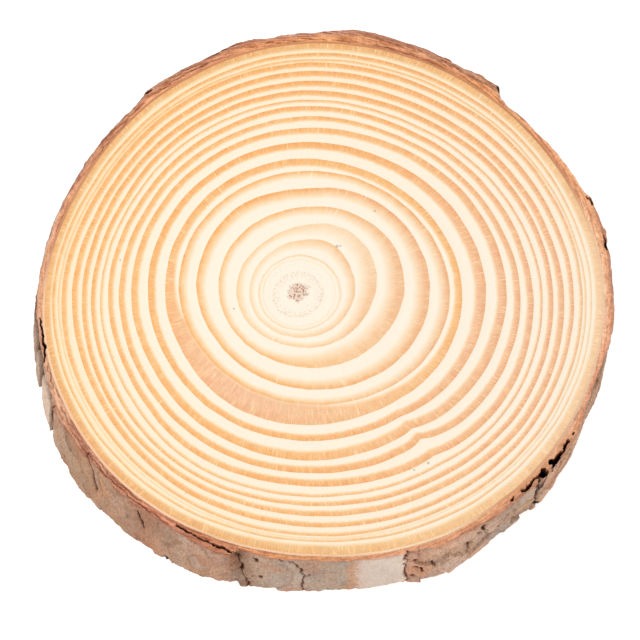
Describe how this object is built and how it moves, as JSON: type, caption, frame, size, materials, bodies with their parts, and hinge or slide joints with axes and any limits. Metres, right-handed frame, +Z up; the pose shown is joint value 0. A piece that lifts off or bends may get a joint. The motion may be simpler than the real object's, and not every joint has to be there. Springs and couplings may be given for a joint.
{
  "type": "wood slice",
  "caption": "Round cross-cut slice of a conifer stem with flat sawn faces, off-centre growth rings and its natural plated bark around the edge.",
  "frame": {"origin": "on the lower sawn face, under the middle of the slice's outline", "axes": "+Z up, square to the sawn faces; +Y away from a viewer who sees the plated bark nearest; +X to that viewer's right"},
  "size_m": [0.1154, 0.1162, 0.018],
  "materials": {
    "wood": "raw sawn softwood, matt",
    "bark": "rough dry conifer bark, matt"
  },
  "bodies": {
    "root": {"wood_slice": "wood"}
  },
  "joints": []
}
